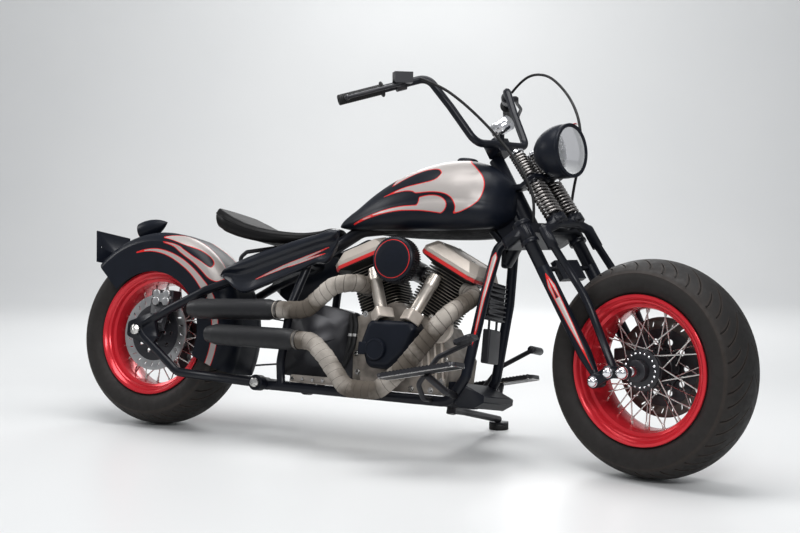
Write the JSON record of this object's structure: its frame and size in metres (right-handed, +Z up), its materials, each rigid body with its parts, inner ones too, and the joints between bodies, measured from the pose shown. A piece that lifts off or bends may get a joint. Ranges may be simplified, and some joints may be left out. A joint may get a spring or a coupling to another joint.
{
  "type": "motorcycle",
  "caption": "Low chopper motorcycle with a springer fork, fat wire-spoked wheels, a V-twin engine and a solo saddle, parked on its side stand.",
  "frame": {"origin": "middle of the footprint on the ground, under the parked motorcycle", "axes": "+X forward, +Y to the rider's left, +Z up"},
  "size_m": [2.4543, 1.0018, 1.2376],
  "materials": {
    "paint_black": "satin",
    "paint_frame": "satin",
    "rim_red": "gloss",
    "tyre": "matte",
    "steel": "brushed",
    "chrome": "polished",
    "engine_silver": "cast",
    "engine_black": "satin",
    "leather": "grained",
    "rubber": "matte",
    "wrap": "woven",
    "lens_clear": "clear",
    "lens_red": "clear"
  },
  "bodies": {
    "chassis": {"main_frame": "paint_frame", "swingarm": "paint_frame", "chassis_pins": "steel", "rear_fender": "paint_black", "tail_lamp": "paint_black", "tail_lens": "lens_red", "fuel_tank": "paint_black", "seat": "leather", "seat_springs": "engine_black", "side_covers": "paint_black", "crankcase": "engine_silver", "cylinders": "engine_black", "rocker_covers": "engine_silver", "gearbox": "engine_silver", "primary_cover": "engine_black", "cam_cover": "engine_black", "pushrod_tubes": "engine_silver", "air_cleaner": "engine_black", "headers": "wrap", "mufflers": "engine_black", "front_boxes": "engine_black", "foot_controls": "engine_black", "rear_caliper": "engine_silver", "drive_belt": "rubber"},
    "rear_wheel": {"rear_tyre": "tyre", "rear_rim": "rim_red", "rear_spokes": "steel", "rear_disc": "steel", "rear_pulley": "engine_black"},
    "fork": {"rear_legs": "paint_frame", "front_legs": "paint_frame", "fork_springs": "steel", "rockers": "paint_frame", "front_axle": "chrome", "front_caliper": "engine_silver", "handlebar": "engine_black", "grips": "rubber", "hand_controls": "engine_black", "control_cables": "rubber", "headlamp": "paint_black", "headlamp_lens": "lens_clear", "gauge": "chrome"},
    "front_wheel": {"front_tyre": "tyre", "front_rim": "rim_red", "front_spokes": "steel", "front_disc": "steel"},
    "stand": {"side_stand": "engine_black", "stand_puck": "rubber"}
  },
  "joints": [
    {"name": "steering", "type": "hinge", "parent": "chassis", "child": "fork", "pos_m": [0.43332, -0.03941, 0.78584], "axis": [-0.5214, 0.1656, 0.8371], "range_deg": [-13.1, 46.9]},
    {"name": "front_wheel_spin", "type": "hinge", "parent": "fork", "child": "front_wheel", "pos_m": [0.90972, -0.17913, 0.32288], "axis": [0.2478, 0.9681, -0.0372], "continuous": true},
    {"name": "rear_wheel_spin", "type": "hinge", "parent": "chassis", "child": "rear_wheel", "pos_m": [-0.9043, -0.13206, 0.31969], "axis": [-0.0003, 0.981, -0.1942], "continuous": true},
    {"name": "side_stand_fold", "type": "hinge", "parent": "chassis", "child": "stand", "pos_m": [0.18044, -0.00871, 0.11748], "axis": [0.0188, -0.3864, -0.9221], "range_deg": [-94, 0]}
  ]
}
